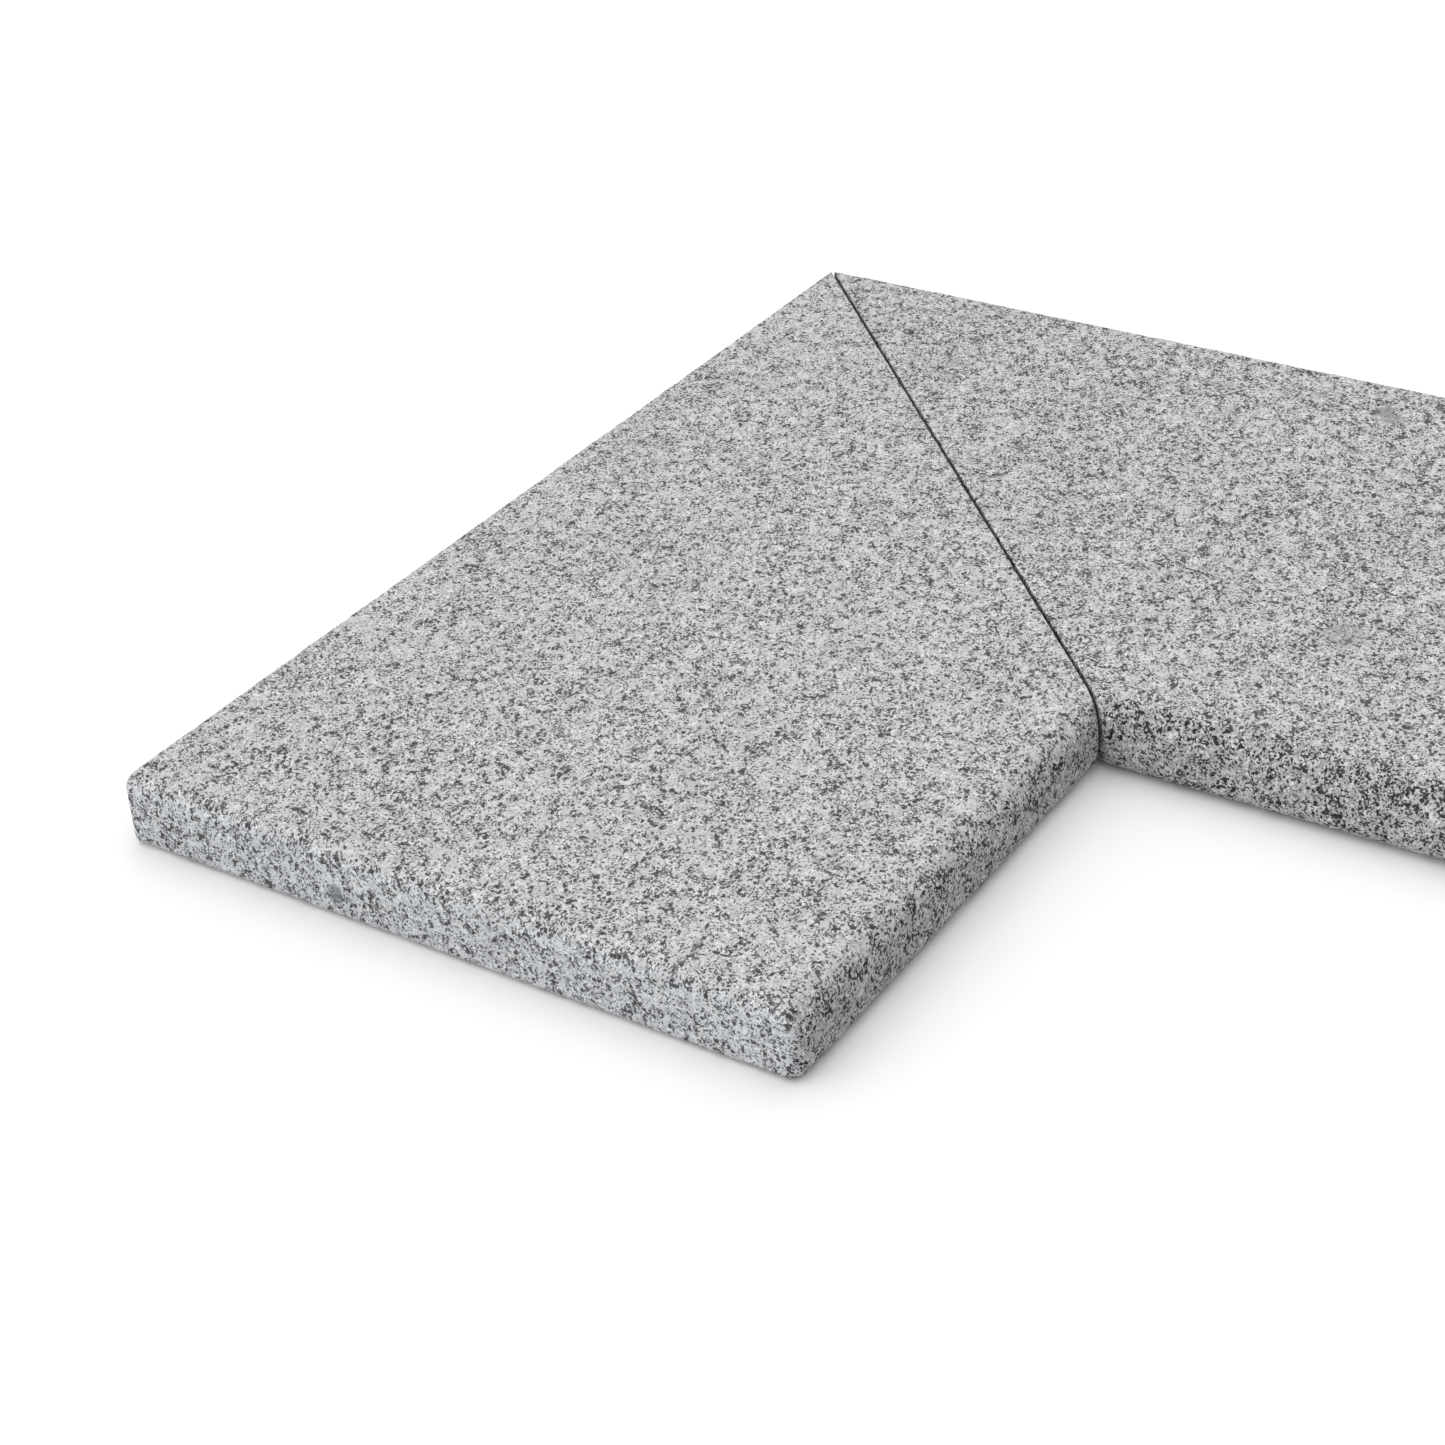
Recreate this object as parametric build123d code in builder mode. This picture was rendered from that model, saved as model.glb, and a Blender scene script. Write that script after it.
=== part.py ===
"""Mitred corner made of two granite coping stones laid dry, pool edge inwards."""

from build123d import *
import math
import os

os.makedirs("parts", exist_ok=True)

# Driving dimensions, in millimetres.
stone_length = 600.0  # along the straight back edge, from the mitre's tip to the dressed end
stone_width = 350.0  # from the back edge to the pool edge
stone_thickness = 35.0
joint_width = 1.2  # open dry joint, measured square across the mitre

# Roundings, all measured as radii.
pool_top_radius = 14.0
pool_bottom_radius = 11.0
end_top_radius = 8.0
end_bottom_radius = 5.0
pool_corner_radius = 7.0  # upright corner between the pool edge and the dressed end
back_arris_radius = 1.5  # sawn back edge, only rubbed down

# The frame: the outer corner of the pair is at the far left, and the origin is the middle of
# the pair's footprint, on the bed.
joint_setback = joint_width / math.sqrt(2)  # how far each mitre tip stands from the outer corner
span = stone_length + joint_setback
back_y = span / 2
pool_y = back_y - stone_width
tip_x = -span / 2 + joint_setback
end_x = span / 2
mitre_plane = Plane(origin=(-span / 2, span / 2, 0), z_dir=(1, 1, 0))


# The right stone runs along +X. It is the common solid of three prisms: its cross-section,
# its plan with the mitre cut, and its long elevation with the rounded end.
with BuildPart() as right_coping_stone:
    with BuildSketch(Plane.YZ.offset(tip_x)) as cross_section:
        with Locations((pool_y, 0)):
            Rectangle(stone_width, stone_thickness, align=(Align.MIN, Align.MIN))
        pool_bottom, pool_top = cross_section.vertices().group_by(Axis.X)[0].sort_by(Axis.Y)
        back_corners = cross_section.vertices().group_by(Axis.X)[-1]
        fillet(pool_top, radius=pool_top_radius)
        fillet(pool_bottom, radius=pool_bottom_radius)
        fillet(back_corners, radius=back_arris_radius)
    extrude(amount=stone_length)

    with BuildSketch(Plane.XY) as plan:
        with BuildLine() as plan_outline:
            Polyline(
                (tip_x, back_y),
                (end_x, back_y),
                (end_x, pool_y),
                (tip_x + stone_width, pool_y),
                close=True,
            )
        make_face()
        pool_corner, back_corner = plan.vertices().group_by(Axis.X)[-1].sort_by(Axis.Y)
        fillet(pool_corner, radius=pool_corner_radius)
        fillet(back_corner, radius=back_arris_radius)
    extrude(amount=stone_thickness, mode=Mode.INTERSECT)

    with BuildSketch(Plane.XZ.offset(-back_y)) as long_elevation:
        with Locations((tip_x, 0)):
            Rectangle(stone_length, stone_thickness, align=(Align.MIN, Align.MIN))
        end_bottom, end_top = long_elevation.vertices().group_by(Axis.X)[-1].sort_by(Axis.Y)
        fillet(end_top, radius=end_top_radius)
        fillet(end_bottom, radius=end_bottom_radius)
    extrude(amount=stone_width, mode=Mode.INTERSECT)


# The left stone is the right stone's mirror image in the mitre, and runs along -Y.
with BuildPart() as left_coping_stone:
    mirror(right_coping_stone.part, about=mitre_plane)


right_coping_stone.part.label = "right_coping_stone"
left_coping_stone.part.label = "left_coping_stone"
export_step(right_coping_stone.part, "parts/right_coping_stone.step")
export_step(left_coping_stone.part, "parts/left_coping_stone.step")
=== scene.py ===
"""Looks for the mitred granite coping corner: two hand-finished stones on a pale floor.

A stone has axes of its own: s runs from the mitre's tip along the back edge, w from the back edge
to the pool edge, and t up from the bed.
"""

import math
from collections import namedtuple

import bpy
import numpy as np
from mathutils import Matrix, Vector, noise


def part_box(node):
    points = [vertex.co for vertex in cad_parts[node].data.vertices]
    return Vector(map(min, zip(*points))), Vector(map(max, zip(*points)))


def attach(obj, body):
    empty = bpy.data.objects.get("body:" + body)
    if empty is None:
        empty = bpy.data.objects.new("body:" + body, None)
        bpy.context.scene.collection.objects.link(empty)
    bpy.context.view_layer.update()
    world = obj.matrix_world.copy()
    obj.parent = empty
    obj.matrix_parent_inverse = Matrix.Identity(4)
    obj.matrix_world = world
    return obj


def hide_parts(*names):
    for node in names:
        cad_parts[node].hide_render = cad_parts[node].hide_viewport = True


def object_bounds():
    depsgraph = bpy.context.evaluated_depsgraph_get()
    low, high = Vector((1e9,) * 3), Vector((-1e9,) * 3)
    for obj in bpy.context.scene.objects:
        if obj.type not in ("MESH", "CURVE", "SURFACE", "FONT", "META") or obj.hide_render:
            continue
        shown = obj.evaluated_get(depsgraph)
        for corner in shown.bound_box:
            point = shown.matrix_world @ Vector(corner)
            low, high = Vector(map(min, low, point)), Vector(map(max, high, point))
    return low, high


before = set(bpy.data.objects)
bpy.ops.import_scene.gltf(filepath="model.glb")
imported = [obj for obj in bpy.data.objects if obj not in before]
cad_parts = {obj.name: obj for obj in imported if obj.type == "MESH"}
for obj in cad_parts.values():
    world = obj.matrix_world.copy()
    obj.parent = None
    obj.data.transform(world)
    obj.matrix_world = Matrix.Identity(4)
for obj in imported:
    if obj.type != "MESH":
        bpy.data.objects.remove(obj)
cad_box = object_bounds()

MM = 0.001

# ---- sizes ----

# A worked edge: its radius, the share of it by which it wavers, the length of a waver along the
# edge, and the noise track that the waver follows.
Rounding = namedtuple("Rounding", "radius waver length track")
POOL_TOP = Rounding(14 * MM, 0.05, 80 * MM, 1)
POOL_BOTTOM = Rounding(11 * MM, 0.08, 60 * MM, 2)
BACK_TOP = Rounding(1.2 * MM, 0.5, 12 * MM, 3)
BACK_BOTTOM = Rounding(1.2 * MM, 0.5, 12 * MM, 4)
END_TOP = Rounding(8 * MM, 0.08, 60 * MM, 5)
END_BOTTOM = Rounding(5 * MM, 0.15, 40 * MM, 6)
BACK_CORNER = Rounding(3 * MM, 0.2, 20 * MM, 9)
POOL_CORNER = Rounding(7 * MM, 0.1, 20 * MM, 10)
SMALLEST_RADIUS = 1 * MM

# At the foot of the notch between the stones the mitre's arris is worn wider.
NOTCH_REACH = 18 * MM
NOTCH_WIDENING = 6

RELIEF = 0.45 * MM  # depth of the unevenness that hand work and flaming leave
WAVER_NOISE = (0.9, 2.1, 3)  # increment, lacunarity and octaves

# Distances from a sawn face between which the look of it fades out.
SAWN_END_FADE = (1 * MM, 4 * MM)
SAWN_MITRE_FADE = (0, 0.6 * MM)

# The mesh of a stone: rings of points from the mitre to the dressed end, and in each ring steps
# in from the four faces, as runs of (length, number of steps), with even steps between them.
MITRE_RINGS = 5
RUN_RINGS = 300
END_RINGS = 14
RINGS = MITRE_RINGS + RUN_RINGS - 1 + END_RINGS
END_REACH = 16 * MM
FROM_BACK = ((0.9 * MM, 3), (2.1 * MM, 3), (3 * MM, 3))
FROM_POOL = ((20 * MM, 22),)
FROM_BED = ((12 * MM, 11),)
FROM_TOP = ((15 * MM, 14),)
STEPS_ACROSS = 60
STEPS_UP = 5
FAR = 9.0  # stands for a distance beyond every rounding

# A spot on the surface: where and how large it is, as (s, w, t) in millimetres, its colour, and how
# much of the granite it covers.
Mark = namedtuple("Mark", "centre radii colour cover")

# What sets the two stones apart: the noise seed, the mitre's arris, the distances from the pool face
# between which the ground edge's deeper tone fades out, where in the granite the stone was cut, how
# much more biotite it has, and its marks.
Style = namedtuple("Style", "seed mitre_arris ground_edge granite_offset biotite marks")
RIGHT_STYLE = Style(
    seed=11.3,
    mitre_arris=Rounding(1.0 * MM, 0.45, 7 * MM, 7),
    ground_edge=(8 * MM, 18 * MM),
    granite_offset=(3.1, 1.7, 0.4),
    biotite=0.02,
    marks=(
        # A grey smear that ends in a black knot, near the back edge.
        Mark((350.5, 29, 35), (5.5, 6, 4), (0.17, 0.175, 0.18), 0.65),
        Mark((356, 35, 35), (5.5, 5.5, 4), (0.19, 0.195, 0.203), 0.55),
        Mark((345.5, 32, 35), (2.3, 3.8, 3), (0.055, 0.056, 0.058), 0.85),
        # An oval patch of finer, greyer grain.
        Mark((418, 246, 35), (12, 11, 5), (0.222, 0.227, 0.238), 0.4),
    ),
)
LEFT_STYLE = Style(
    seed=47.9,
    mitre_arris=Rounding(0.7 * MM, 0.45, 7 * MM, 7),
    ground_edge=(1.5 * MM, 6.5 * MM),
    granite_offset=(7.2, 5.3, 2.6),
    biotite=0.0,
    marks=(
        # A dark spot on the dressed end.
        Mark((600, 118, 13), (4, 4.2, 4.6), (0.12, 0.13, 0.145), 0.75),
        # A warm smudge on the walking face, near the left-hand corner.
        Mark((583, 57, 35), (5, 16, 5), (0.50, 0.45, 0.41), 0.2),
        # Two rusty specks at the foot of the dressed end.
        Mark((600, 250, 1), (5, 3.5, 4), (0.36, 0.29, 0.24), 0.35),
        Mark((600, 274, 1), (5, 4.5, 4), (0.40, 0.34, 0.30), 0.35),
    ),
)

# The camera, aimed at a point on the walking face. Angles are in degrees, and azimuth 0 looks
# along +Y.
AIM = (-0.0910, -0.1386)
AZIMUTH = 35.133
ELEVATION = 32.468
DISTANCE = 1.2853
ROLL = -3.962
LENS = 72.585
SENSOR_WIDTH = 36

FLOOR_SIDE = 400  # so large that its far edge stays on the horizon in low views
FLOOR_ALBEDO = 0.83

WORLD_STRENGTH = 1.28
DIM_DIRECTION = (0.95, 0.1, -0.65)  # low down, on the pool side of the left stone
DIM_START = 0.05  # how far towards it the light starts to fade, and where it has gone
DIM_FULL = 0.35
LIGHT_DISTANCE = 4.0
LIGHT_SIDE = 4.0


# ---- the stones' shape ----

def steps(runs):
    """Distances from 0: each run is (length, number of steps)."""
    marks = [0.0]
    for length, count in runs:
        marks += [marks[-1] + length * (i + 1) / count for i in range(count)]
    return np.array(marks)


def fit_between(start, end, middle_count, total):
    """Marks with fixed spacing at both ends and an even spacing between them."""
    middle = np.linspace(start[-1], total - end[-1], middle_count + 1)[1:-1]
    return np.concatenate([start, middle, total - end[::-1]])


def lattice_surface(nx, ny, nz):
    """Index triples of the points on the outside of a lattice, and the quads that join them."""
    number = -np.ones((nx, ny, nz), int)
    i, j, k = np.meshgrid(np.arange(nx), np.arange(ny), np.arange(nz), indexing="ij")
    shell = (i == 0) | (i == nx - 1) | (j == 0) | (j == ny - 1) | (k == 0) | (k == nz - 1)
    number[shell] = np.arange(shell.sum())
    points = np.stack([i[shell], j[shell], k[shell]], 1)
    quads = []
    for axis in range(3):
        for side in (0, -1):
            face = np.take(number, side, axis=axis)
            corners = [face[:-1, :-1], face[1:, :-1], face[1:, 1:], face[:-1, 1:]]
            if (side == 0) != (axis == 1):
                corners.reverse()
            quads.append(np.stack([c.ravel() for c in corners], 1))
    return points, np.concatenate(quads)


def lattice(width, height):
    """Each lattice point's ring number and its w and t, and the quads that join the points."""
    w_marks = fit_between(steps(FROM_BACK), steps(FROM_POOL), STEPS_ACROSS, width)
    t_marks = fit_between(steps(FROM_BED), steps(FROM_TOP), STEPS_UP, height)
    points, quads = lattice_surface(RINGS, len(w_marks), len(t_marks))
    return points[:, 0], w_marks[points[:, 1]], t_marks[points[:, 2]], quads


def wander(values, seed, scale):
    """Smooth random numbers, about -1 to 1, along one coordinate."""
    points = [Vector((value / scale, seed, 0.37)) for value in values]
    return np.array([noise.fractal(point, *WAVER_NOISE) for point in points])


def radius_along(rounding, values, seed):
    """The radius of a worked edge at each distance along it."""
    waver = wander(values, seed + rounding.track, rounding.length)
    return rounding.radius * (1 + rounding.waver * waver)


def round_edge(p, q, radius):
    """Rounds the edge between two faces; p and q are each point's distances inwards from them."""
    x = np.clip(1 - p / radius, 0, None)
    y = np.clip(1 - q / radius, 0, None)
    inside = (x > 0) & (y > 0)
    scale = np.where(inside, np.maximum(x, y) / np.maximum(np.hypot(x, y), 1e-9), 1)
    rounded_p = np.where(inside, radius * (1 - x * scale), p)
    rounded_q = np.where(inside, radius * (1 - y * scale), q)
    return rounded_p, rounded_q


def inset_at(distance, radius):
    """How far a rounding pulls a surface in, at a distance from the face that it ends on."""
    short = np.clip(radius - distance, 0, radius)
    return radius - np.sqrt(radius ** 2 - short ** 2)


def section(w, t, width, height, insets, radii):
    """The cross-section, drawn in from its four sides and rounded at its four long edges."""
    back, pool, under, top = insets
    pool_top, pool_bottom, back_top, back_bottom = radii
    w = back + w * (width - back - pool) / width
    t = under + t * (height - under - top) / height
    pool_top = np.maximum(pool_top - np.maximum(pool, top), SMALLEST_RADIUS)
    pool_bottom = np.maximum(pool_bottom - np.maximum(pool, under), SMALLEST_RADIUS)
    p, q = round_edge(width - pool - w, height - top - t, pool_top)
    w, t = width - pool - p, height - top - q
    p, q = round_edge(width - pool - w, t - under, pool_bottom)
    w, t = width - pool - p, under + q
    p, q = round_edge(w - back, height - top - t, back_top)
    w, t = back + p, height - top - q
    p, q = round_edge(w - back, t - under, back_bottom)
    return back + p, under + q


def stone_surface(size, style):
    """The s, w and t of every point of a stone's surface, and the quads that join the points."""
    length, width, height = size
    seed = style.seed
    ring, w, t, quads = lattice(width, height)
    near_mitre = ring < MITRE_RINGS
    near_end = ring >= RINGS - END_RINGS

    # The first rings turn round the mitre's arris, and the last ones crowd at the dressed end.
    near_notch = np.clip(1 - np.hypot(width - w, t) / NOTCH_REACH, 0, 1)
    arris = radius_along(style.mitre_arris, w + 3 * t, seed) * (1 + NOTCH_WIDENING * near_notch)
    turn = np.radians(np.arange(MITRE_RINGS) * 90 / (MITRE_RINGS - 1))
    end_marks = END_REACH * (np.arange(END_RINGS) / (END_RINGS - 1)) ** 2
    mitre_ring = np.minimum(ring, MITRE_RINGS - 1)
    end_ring = np.clip(RINGS - 1 - ring, 0, END_RINGS - 1)
    from_mitre = np.where(near_mitre, arris * (1 - np.cos(turn[mitre_ring])), FAR)
    from_end = np.where(near_end, end_marks[end_ring], FAR)

    mitre_inset = inset_at(from_mitre, arris)
    insets = [
        mitre_inset + inset_at(from_end, radius_along(rounding, place, seed))
        for rounding, place in ((BACK_CORNER, t), (POOL_CORNER, t), (END_BOTTOM, w), (END_TOP, w))
    ]
    along = ring / RINGS * length
    long_edges = (POOL_TOP, POOL_BOTTOM, BACK_TOP, BACK_BOTTOM)
    radii = [radius_along(rounding, along, seed) for rounding in long_edges]
    w, t = section(w, t, width, height, insets, radii)

    share = (ring - MITRE_RINGS + 1) / RUN_RINGS
    first = w + arris
    last = length - END_REACH
    run = np.where(near_end, length - from_end, first + share * (last - first))
    return np.where(near_mitre, w + from_mitre, run), w, t, quads


def uneven(point, seed):
    """How much of the surface's relief is taken off at a point, from 0 to 1."""
    p = Vector(point) + Vector((seed, 0, 0))
    value = 0.5 * noise.noise(p * 28) + 0.3 * noise.noise(p * 90) + 0.25 * noise.noise(p * 240)
    return min(max(0.5 + value * 0.8, 0), 1)


def wear_down(mesh, co, seed):
    """Leaves the faces slightly uneven. The stone only ever loses material."""
    normals = np.zeros(len(co) * 3)
    mesh.vertex_normals.foreach_get("vector", normals)
    relief = np.array([uneven(c, seed) for c in co])
    worn = co - normals.reshape(-1, 3) * (relief * RELIEF)[:, None]
    mesh.vertices.foreach_set("co", worn.ravel())


def add_layer(mesh, name, distance, fade):
    """Stores at each point, for the material to read, a number that falls from 1 to 0 over a fade."""
    start, end = fade
    values = np.clip((end - distance) / (end - start), 0, 1)
    layer = mesh.attributes.new(name, "FLOAT", "POINT")
    layer.data.foreach_set("value", values.astype(np.float32))


def make_stone(name, place, size, style):
    """A mitred coping stone, with layers that say which of its faces are ground or sawn."""
    s, w, t, quads = stone_surface(size, style)
    co = place(s, w, t)
    mesh = bpy.data.meshes.new(name)
    mesh.from_pydata(co.tolist(), [], quads.tolist())
    mesh.update()
    # The two stones' axes are mirror images, so one stone's faces come out inside out.
    if sum(f.normal.z * f.center.z for f in mesh.polygons) < 0:
        mesh.flip_normals()
    mesh.polygons.foreach_set("use_smooth", [True] * len(mesh.polygons))
    wear_down(mesh, co, style.seed)

    length, width, _ = size
    add_layer(mesh, "ground_edge", width - w, style.ground_edge)
    add_layer(mesh, "sawn_end", length - s, SAWN_END_FADE)
    add_layer(mesh, "sawn_mitre", s - w, SAWN_MITRE_FADE)
    mesh.update()
    stone = bpy.data.objects.new(name, mesh)
    bpy.context.scene.collection.objects.link(stone)
    return stone


# ---- granite ----

# How many crystals there are along a metre.
COARSE_GRAINS = 430
MEDIUM_GRAINS = 880
TINY_GRAINS = 1640
BIG_FLAKES = 640
SMALL_FLAKES = 1240
KNOTS = 48

# Linear colours; a mineral that varies has two.
FELDSPAR_COLOURS = ((0.434, 0.436, 0.440), (0.588, 0.590, 0.593))
QUARTZ_COLOURS = ((0.341, 0.343, 0.347), (0.468, 0.47, 0.472))
SMALL_FLAKE_COLOUR = (0.041, 0.042, 0.044)
BIG_FLAKE_COLOUR = (0.029, 0.029, 0.03)
KNOT_COLOUR = (0.051, 0.052, 0.054)
RUST_COLOUR = (0.44, 0.34, 0.25)
SAWN_END_TINTS = ((0.955, 0.975, 1.01), (1.01, 1.03, 1.05))

GRAIN_DIRECTION = math.radians(125)  # from +X towards +Y
GRAIN_STRETCH = 1.15
CUT_ROTATION = (0.3, 0.5, 0.8)  # radians; turns the texture's cells away from the stone's faces
RAGGEDNESS = 1.1 * MM  # how far crystal outlines wander, over waves of RAGGED_WAVES a metre
RAGGED_WAVES = 880
BUMP_DEPTH = 0.6 * MM

# What a cell texture gives: three random numbers for each crystal, and the distance from its middle.
Crystals = namedtuple("Crystals", "red green blue distance")


class Granite:
    """One stone's node material. Texture scales are in crystals or waves per metre."""

    def __init__(self, name, offset):
        self.material = bpy.data.materials.new(name)
        self.material.use_nodes = True
        self.tree = self.material.node_tree
        self.shader = self.tree.nodes["Principled BSDF"]
        self.coords = self.node("ShaderNodeTexCoord").outputs["Object"]
        self.place = self.rotated(self.grained(), offset)
        self.warped = self.ragged()
        self.medium = self.crystals(MEDIUM_GRAINS)
        self.tiny = self.crystals(TINY_GRAINS)
        self.nests = self.noise_at(175, detail=3, rough=0.6)

    # Coordinates

    def grained(self):
        """The object's coordinates, drawn out so that grains lie a little along one direction."""
        made = self.node("ShaderNodeMapping", vector_type="TEXTURE")
        self.feed(made.inputs["Vector"], self.coords)
        self.feed(made.inputs["Rotation"], (0, 0, GRAIN_DIRECTION))
        self.feed(made.inputs["Scale"], (GRAIN_STRETCH, 1, 1))
        return made.outputs["Vector"]

    def rotated(self, vector, offset):
        """Turned away from the stone's faces, and moved to this stone's place in the granite."""
        made = self.node("ShaderNodeMapping")
        self.feed(made.inputs["Vector"], vector)
        self.feed(made.inputs["Location"], offset)
        self.feed(made.inputs["Rotation"], CUT_ROTATION)
        return made.outputs["Vector"]

    def ragged(self):
        """Wandering by a fraction of a millimetre, which gives crystals ragged outlines."""
        wobble = self.noise_node(RAGGED_WAVES, detail=3, rough=0.6).outputs["Color"]
        return self.multiply_add(wobble, (RAGGEDNESS, RAGGEDNESS, RAGGEDNESS), self.place)

    # Nodes

    def node(self, kind, **settings):
        made = self.tree.nodes.new(kind)
        for key, value in settings.items():
            setattr(made, key, value)
        return made

    def feed(self, slot, value):
        """Gives an input a number, a colour, a vector or another node's output."""
        if isinstance(value, bpy.types.NodeSocket):
            self.tree.links.new(value, slot)
        elif slot.type == "RGBA":
            slot.default_value = (*value, 1)
        else:
            slot.default_value = value

    def noise_node(self, scale, detail, rough):
        made = self.node("ShaderNodeTexNoise")
        self.feed(made.inputs["Vector"], self.place)
        self.feed(made.inputs["Scale"], scale)
        self.feed(made.inputs["Detail"], detail)
        self.feed(made.inputs["Roughness"], rough)
        return made

    def noise_at(self, scale, detail=2, rough=0.5):
        return self.noise_node(scale, detail, rough).outputs["Fac"]

    def crystals(self, scale):
        cells = self.node("ShaderNodeTexVoronoi")
        self.feed(cells.inputs["Vector"], self.warped)
        self.feed(cells.inputs["Scale"], scale)
        split = self.node("ShaderNodeSeparateColor")
        self.feed(split.inputs["Color"], cells.outputs["Color"])
        return Crystals(*split.outputs, cells.outputs["Distance"])

    def maths(self, operation, a, b):
        made = self.node("ShaderNodeMath", operation=operation)
        self.feed(made.inputs[0], a)
        self.feed(made.inputs[1], b)
        return made.outputs[0]

    def multiply_add(self, vector, factors, addend):
        made = self.node("ShaderNodeVectorMath", operation="MULTIPLY_ADD")
        for slot, value in zip(made.inputs, (vector, factors, addend)):
            self.feed(slot, value)
        return made.outputs["Vector"]

    def mix(self, factor, a, b, blend="MIX"):
        made = self.node("ShaderNodeMix", data_type="RGBA", blend_type=blend, clamp_factor=True)
        # A Mix node keeps its colour sockets behind those for numbers and vectors.
        factor_slot, colour_a, colour_b = made.inputs[0], made.inputs[6], made.inputs[7]
        self.feed(factor_slot, factor)
        self.feed(colour_a, a)
        self.feed(colour_b, b)
        return made.outputs[2]

    def remap(self, value, low, high, to_low=0.0, to_high=1.0):
        made = self.node("ShaderNodeMapRange", clamp=True)
        self.feed(made.inputs["Value"], value)
        self.feed(made.inputs["From Min"], low)
        self.feed(made.inputs["From Max"], high)
        self.feed(made.inputs["To Min"], to_low)
        self.feed(made.inputs["To Max"], to_high)
        return made.outputs["Result"]

    def layer(self, name):
        return self.node("ShaderNodeAttribute", attribute_name=name).outputs["Fac"]

    def tint(self, body, factor):
        """The colour multiplied by a number or by another colour."""
        return self.mix(1.0, body, factor, "MULTIPLY")

    # Minerals, each laid over the colour so far

    def feldspar_and_quartz(self):
        coarse = self.crystals(COARSE_GRAINS)
        feldspar = self.mix(coarse.red, *FELDSPAR_COLOURS)
        quartz = self.mix(self.medium.green, *QUARTZ_COLOURS)
        body = self.mix(self.remap(self.medium.red, 0.52, 0.68), feldspar, quartz)
        return self.tint(body, self.remap(self.tiny.red, 0, 1, 0.82, 1.18))

    def biotite(self, body, extra):
        """Small flakes that gather in strings and nests, and stay away from some patches."""
        patches = self.remap(self.noise_at(38, detail=1), 0.35, 0.65, extra - 0.025, extra + 0.025)
        crowd = self.maths("ADD", self.nests, patches)
        small = self.crystals(SMALL_FLAKES)
        flake = self.maths("LESS_THAN", small.blue, self.remap(crowd, 0.38, 0.68, 0.09, 0.60))
        fading = self.remap(small.green, 0, 1, 0.68, 1.0)
        body = self.mix(self.maths("MULTIPLY", flake, fading), body, SMALL_FLAKE_COLOUR)
        big = self.crystals(BIG_FLAKES)
        big_flake = self.maths("LESS_THAN", big.blue, self.remap(crowd, 0.42, 0.70, 0.02, 0.23))
        return self.mix(self.maths("MULTIPLY", big_flake, 0.92), body, BIG_FLAKE_COLOUR)

    def knots(self, body):
        """Sparse black knots of a few millimetres."""
        cells = self.crystals(KNOTS)
        reach = self.maths("ADD", cells.distance, self.remap(self.nests, 0, 1, -0.03, 0.03))
        knot = self.maths("LESS_THAN", reach, self.remap(cells.red, 0.45, 1.0, 0.0, 0.075))
        return self.mix(self.maths("MULTIPLY", knot, 0.85), body, KNOT_COLOUR)

    def drift_and_rust(self, body):
        """A little lighter and darker from place to place, with a rusted grain here and there."""
        body = self.tint(body, self.remap(self.noise_at(22), 0.3, 0.7, 0.97, 1.03))
        chance = self.remap(self.noise_at(16, detail=1), 0.5, 0.75, 0.0, 0.03)
        rust = self.maths("LESS_THAN", self.medium.blue, chance)
        return self.mix(self.maths("MULTIPLY", rust, 0.3), body, RUST_COLOUR)

    def mark(self, body, centre, radii, colour, cover):
        """A frayed ellipsoid; its centre and radii are in metres, along X, Y and Z."""
        inverse = tuple(1 / r for r in radii)
        shift = tuple(-c / r for c, r in zip(centre, radii))
        away = self.node("ShaderNodeVectorMath", operation="LENGTH")
        self.feed(away.inputs[0], self.multiply_add(self.coords, inverse, shift))
        fray = self.remap(self.nests, 0.2, 0.8, -0.5, 0.5)
        frayed = self.maths("ADD", away.outputs["Value"], fray)
        return self.mix(self.remap(frayed, 1.15, 0.75, 0.0, cover), body, colour)

    def worked_faces(self, body):
        """The ground pool edge and the sawn mitre are deeper in tone; the sawn end is cooler."""
        edge = self.layer("ground_edge")
        depth = self.maths("MAXIMUM", edge, self.layer("sawn_mitre"))
        deepen = self.node("ShaderNodeGamma")
        self.feed(deepen.inputs["Color"], body)
        self.feed(deepen.inputs["Gamma"], self.remap(depth, 0, 1, 1.0, 1.6))
        body = self.tint(deepen.outputs["Color"], self.remap(edge, 0, 1, 1.0, 1.22))
        cool = self.mix(self.remap(self.noise_at(60), 0.38, 0.62), *SAWN_END_TINTS)
        return self.mix(self.layer("sawn_end"), body, self.tint(body, cool))

    def dress(self, body):
        """Gives the shader its colour, and a matte surface that follows the crystals."""
        self.feed(self.shader.inputs["Base Color"], body)
        self.feed(self.shader.inputs["Roughness"], self.remap(self.tiny.green, 0, 1, 0.62, 0.8))
        self.shader.inputs["Specular IOR Level"].default_value = 0.35
        grit = self.remap(self.tiny.blue, 0, 1, 0, 0.35)
        swell = self.noise_at(340, detail=3, rough=0.65)
        bump = self.node("ShaderNodeBump")
        self.feed(bump.inputs["Strength"], 0.5)
        self.feed(bump.inputs["Distance"], BUMP_DEPTH)
        self.feed(bump.inputs["Height"], self.maths("ADD", grit, swell))
        self.feed(self.shader.inputs["Normal"], bump.outputs["Normal"])


def make_granite(name, style, marks):
    granite = Granite(name, style.granite_offset)
    body = granite.feldspar_and_quartz()
    body = granite.biotite(body, style.biotite)
    body = granite.knots(body)
    body = granite.drift_and_rust(body)
    for mark in marks:
        body = granite.mark(body, *mark)
    granite.dress(granite.worked_faces(body))
    return granite.material


# ---- the two stones ----

right_lo, right_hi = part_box("right_coping_stone")
left_lo, left_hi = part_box("left_coping_stone")
stone_size = tuple(right_hi - right_lo)


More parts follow.
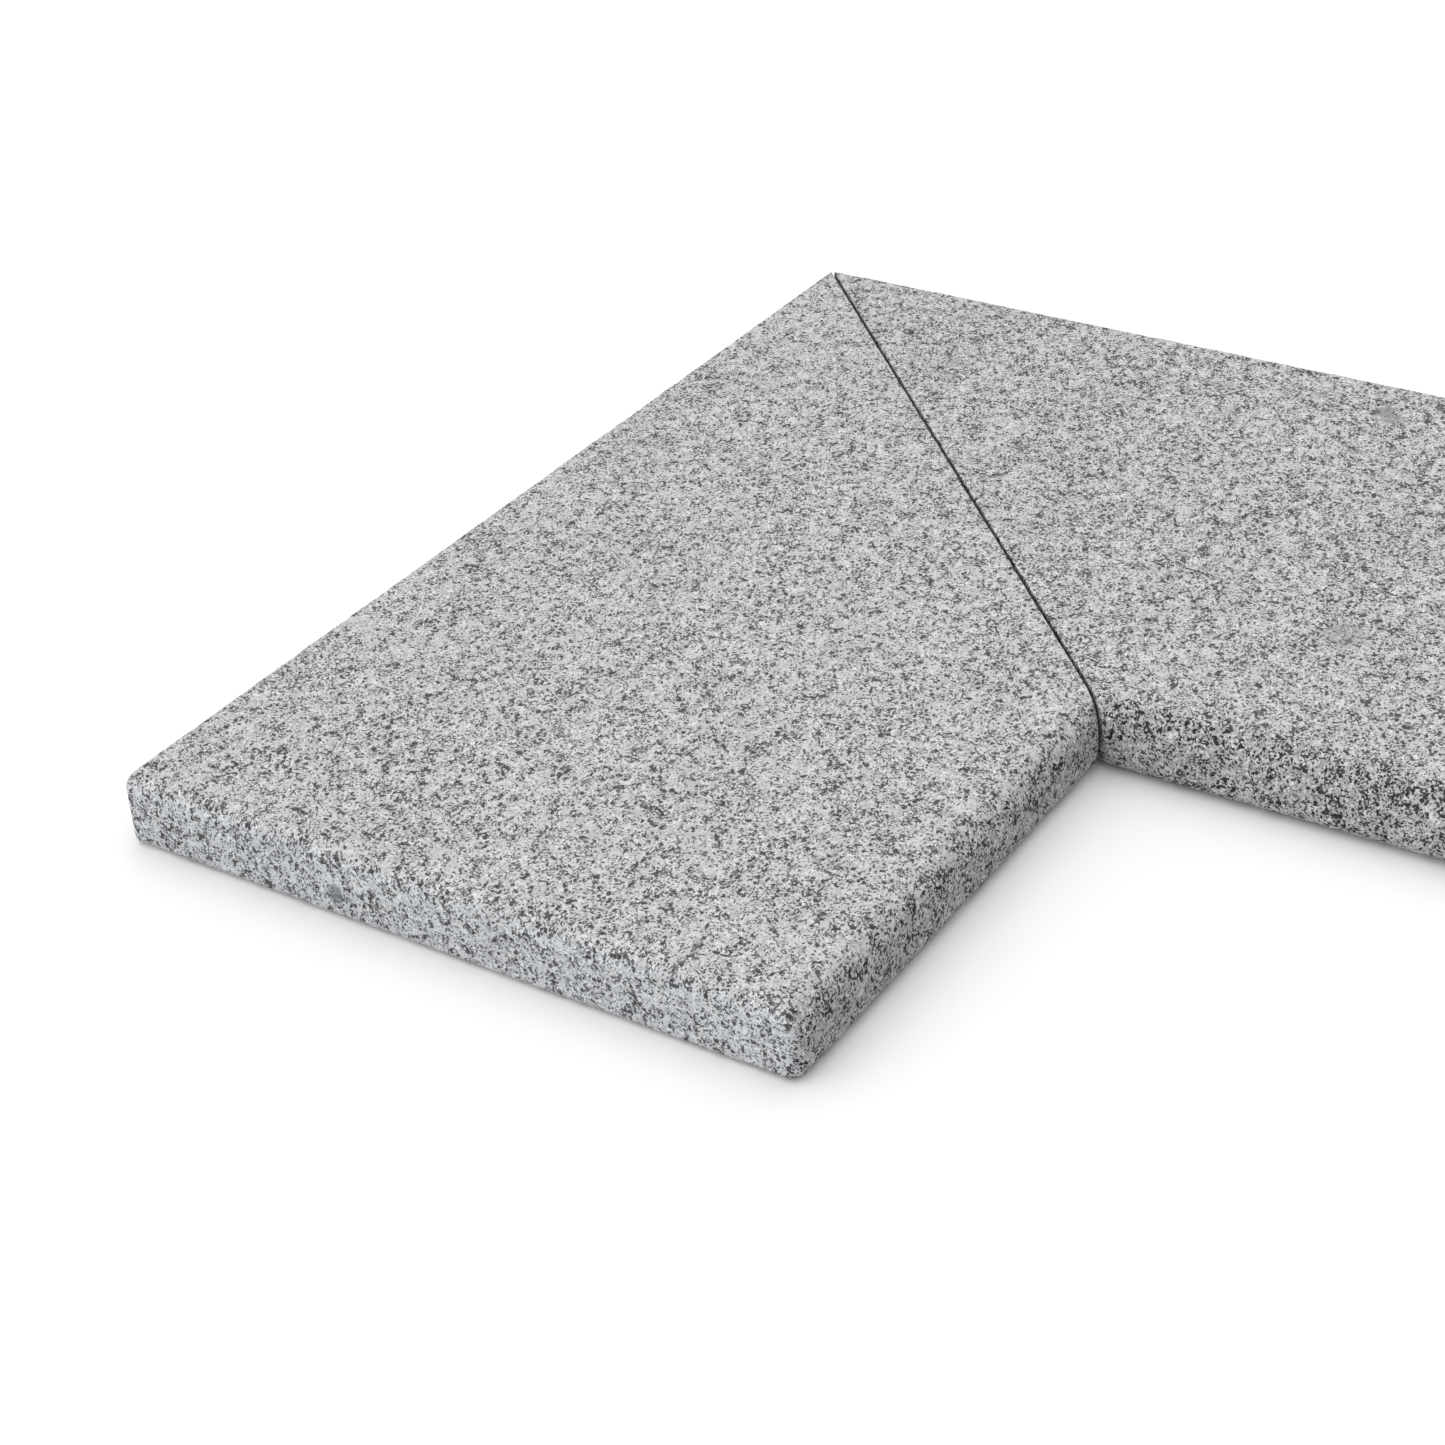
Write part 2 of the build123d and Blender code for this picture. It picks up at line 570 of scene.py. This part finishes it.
def right_place(s, w, t):
    """The right stone runs along +X, so its s, w and t lie along X, Y and Z."""
    return np.stack([right_lo.x + s, right_hi.y - w, t], 1)


def left_place(s, w, t):
    """The left stone runs along -Y, so its s, w and t lie along Y, X and Z."""
    return np.stack([left_lo.x + w, left_hi.y - s, t], 1)


def placed_marks(style, place, axis_order):
    """The marks with their centres and radii in metres, along X, Y and Z."""
    s, w, t = np.array([mark.centre for mark in style.marks]).T * MM
    centres = place(s, w, t).tolist()
    radii = [[mark.radii[axis] * MM for axis in axis_order] for mark in style.marks]
    return [
        mark._replace(centre=centre, radii=reach)
        for mark, centre, reach in zip(style.marks, centres, radii)
    ]


def finish_stone(body, node, style, place, axis_order):
    piece = make_stone(body + "_finish", place, stone_size, style)
    marks = placed_marks(style, place, axis_order)
    piece.data.materials.append(make_granite("granite_" + body, style, marks))
    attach(piece, body)
    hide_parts(node)


finish_stone("right_stone", "right_coping_stone", RIGHT_STYLE, right_place, (0, 1, 2))
finish_stone("left_stone", "left_coping_stone", LEFT_STYLE, left_place, (1, 0, 2))


# ---- floor, light and camera ----

def towards(azimuth, elevation):
    """A direction from the object. Azimuth 0 is along -Y, 90 along +X; angles are in degrees."""
    a = math.radians(azimuth)
    e = math.radians(elevation)
    return Vector((math.sin(a) * math.cos(e), -math.cos(a) * math.cos(e), math.sin(e)))


def make_floor():
    bpy.ops.mesh.primitive_plane_add(size=FLOOR_SIDE, location=(0, 0, cad_box[0].z))
    floor = bpy.context.object
    floor.name = "floor"
    material = bpy.data.materials.new("pale_floor")
    material.use_nodes = True
    shader = material.node_tree.nodes["Principled BSDF"]
    shader.inputs["Base Color"].default_value = (FLOOR_ALBEDO, FLOOR_ALBEDO, FLOOR_ALBEDO, 1)
    shader.inputs["Roughness"].default_value = 0.9
    shader.inputs["Specular IOR Level"].default_value = 0.1
    floor.data.materials.append(material)


def area_light(name, azimuth, elevation, power):
    """A square soft box that looks at the origin."""
    direction = towards(azimuth, elevation)
    data = bpy.data.lights.new(name, "AREA")
    data.size = LIGHT_SIDE
    data.energy = power
    light = bpy.data.objects.new(name, data)
    light.location = direction * LIGHT_DISTANCE
    light.rotation_mode = "QUATERNION"
    light.rotation_quaternion = direction.to_track_quat("Z", "Y")
    bpy.context.scene.collection.objects.link(light)


def make_world():
    """An even white tent of light, which fades to black towards one side."""
    world = bpy.data.worlds.new("studio")
    bpy.context.scene.world = world
    world.use_nodes = True
    nodes, links = world.node_tree.nodes, world.node_tree.links
    background = nodes["Background"]
    background.inputs["Strength"].default_value = WORLD_STRENGTH
    direction = nodes.new("ShaderNodeTexCoord")
    nearness = nodes.new("ShaderNodeVectorMath")
    nearness.operation = "DOT_PRODUCT"
    nearness.inputs[1].default_value = DIM_DIRECTION
    ramp = nodes.new("ShaderNodeMapRange")
    ramp.inputs["From Min"].default_value = DIM_START
    ramp.inputs["From Max"].default_value = DIM_FULL
    ramp.inputs["To Min"].default_value = 1.0
    ramp.inputs["To Max"].default_value = 0.0
    links.new(direction.outputs["Generated"], nearness.inputs[0])
    links.new(nearness.outputs["Value"], ramp.inputs["Value"])
    links.new(ramp.outputs["Result"], background.inputs["Color"])


def make_camera():
    back = towards(AZIMUTH, ELEVATION)
    data = bpy.data.cameras.new("camera")
    data.lens = LENS
    data.sensor_width = SENSOR_WIDTH
    camera = bpy.data.objects.new("camera", data)
    camera.location = Vector((*AIM, cad_box[1].z)) + back * DISTANCE
    camera.rotation_mode = "QUATERNION"
    level = back.to_track_quat("Z", "Y")
    camera.rotation_quaternion = level @ Matrix.Rotation(math.radians(ROLL), 3, "Z").to_quaternion()
    bpy.context.scene.collection.objects.link(camera)
    bpy.context.scene.camera = camera


make_floor()
make_world()
area_light("overhead", azimuth=80, elevation=65, power=34)
area_light("front_fill", azimuth=-15, elevation=12, power=36)
bpy.context.scene.view_settings.view_transform = "Standard"
make_camera()
